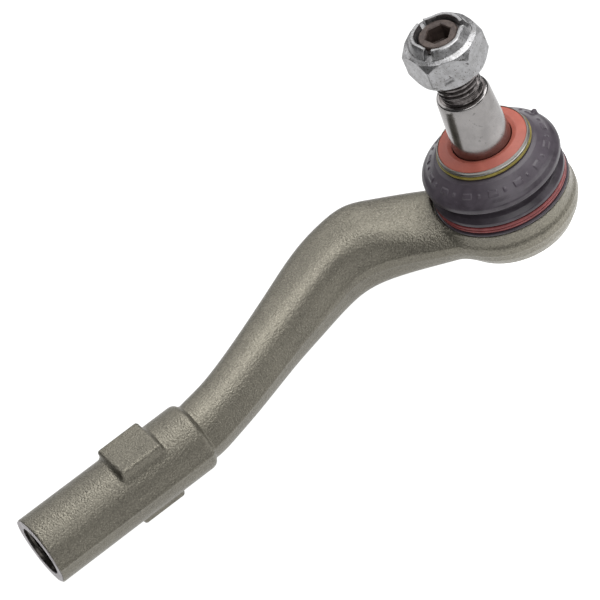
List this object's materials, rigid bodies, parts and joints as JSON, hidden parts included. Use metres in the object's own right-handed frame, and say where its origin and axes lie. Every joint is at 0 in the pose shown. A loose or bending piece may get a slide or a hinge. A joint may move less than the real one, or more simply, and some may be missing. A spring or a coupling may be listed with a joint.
{
  "type": "tie rod end",
  "caption": "Steering tie rod end: bent forged rod with a threaded socket, wrench flats, and a sealed ball joint whose tapered stud carries a slotted lock nut.",
  "frame": {"origin": "centre of the closing cover's underside, on the ball stud's axis", "axes": "+Z along the ball stud towards its threaded tip; -X along the threaded socket towards its open end; the rod's bend bulges to +Y"},
  "size_m": [0.1733, 0.0495, 0.0731],
  "materials": {
    "forging": "zinc-flake coated forging, matt, fine sparkle",
    "bearing": "acetal, machined",
    "spring_steel": "spring steel, oiled",
    "seal_rubber": "black nitrile",
    "cover_steel": "zinc-plated pressing",
    "stud_steel": "ground and polished steel",
    "nut_zinc": "bright zinc plate, speckled",
    "boot_rubber": "dusty dark purple-grey rubber",
    "clamp_red": "red-brown ring, satin",
    "tension_yellow": "yellow ring, satin",
    "carrier_steel": "plated steel ring",
    "lip_elastomer": "salmon sealing elastomer"
  },
  "bodies": {
    "housing": {"rod_body": "forging", "bearing_shell_upper": "bearing", "bearing_shell_lower": "bearing", "preload_ring": "spring_steel", "cover_seal": "seal_rubber", "closing_cover": "cover_steel", "boot_clamp_ring": "clamp_red"},
    "boot": {"dust_boot": "boot_rubber"},
    "seal_collar": {"boot_tension_ring": "tension_yellow", "seal_carrier_ring": "carrier_steel", "seal_lip": "lip_elastomer"},
    "stud": {"ball_stud": "stud_steel"},
    "nut": {"lock_nut": "nut_zinc"}
  },
  "joints": [
    {"name": "stud_tilt_x", "type": "hinge", "parent": "housing", "child": "boot", "pos_m": [0, 0, 0.0126], "axis": [1, 0, 0], "range_deg": [-16, 16], "deforming": ["dust_boot"]},
    {"name": "stud_tilt_y", "type": "hinge", "parent": "boot", "child": "seal_collar", "pos_m": [0, 0, 0.0126], "axis": [0, 1, 0], "range_deg": [-16, 16], "deforming": ["dust_boot"]},
    {"name": "stud_spin", "type": "hinge", "parent": "seal_collar", "child": "stud", "pos_m": [0, 0, 0.0126], "axis": [0, 0, 1], "continuous": true},
    {"name": "nut_turn", "type": "hinge", "parent": "stud", "child": "nut", "pos_m": [0, 0, 0.0611], "axis": [0, 0, 1], "continuous": true}
  ]
}
